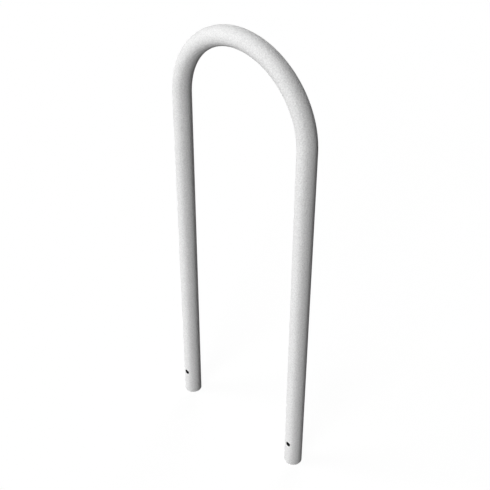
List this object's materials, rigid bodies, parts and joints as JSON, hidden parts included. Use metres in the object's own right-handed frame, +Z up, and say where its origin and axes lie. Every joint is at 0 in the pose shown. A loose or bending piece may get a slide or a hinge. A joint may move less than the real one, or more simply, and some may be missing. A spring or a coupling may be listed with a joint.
{
  "type": "hoop bike rack",
  "caption": "Tall narrow hoop of round steel pipe on two straight legs, set in the ground so that a bicycle can lean on it and be locked to it.",
  "frame": {"origin": "midway between the two feet, on the plane of their cut ends", "axes": "+X from the left leg to the right leg, +Y through the hoop, +Z up along the legs"},
  "size_m": [0.4572, 0.0482, 1.2192],
  "materials": {
    "pipe_finish": "matte",
    "sleeve_steel": "satin"
  },
  "bodies": {
    "root": {"hoop": "pipe_finish", "left_ground_leg": "pipe_finish", "right_ground_leg": "pipe_finish", "left_joint_sleeve": "sleeve_steel", "right_joint_sleeve": "sleeve_steel", "left_weld": "pipe_finish", "right_weld": "pipe_finish"}
  },
  "joints": []
}
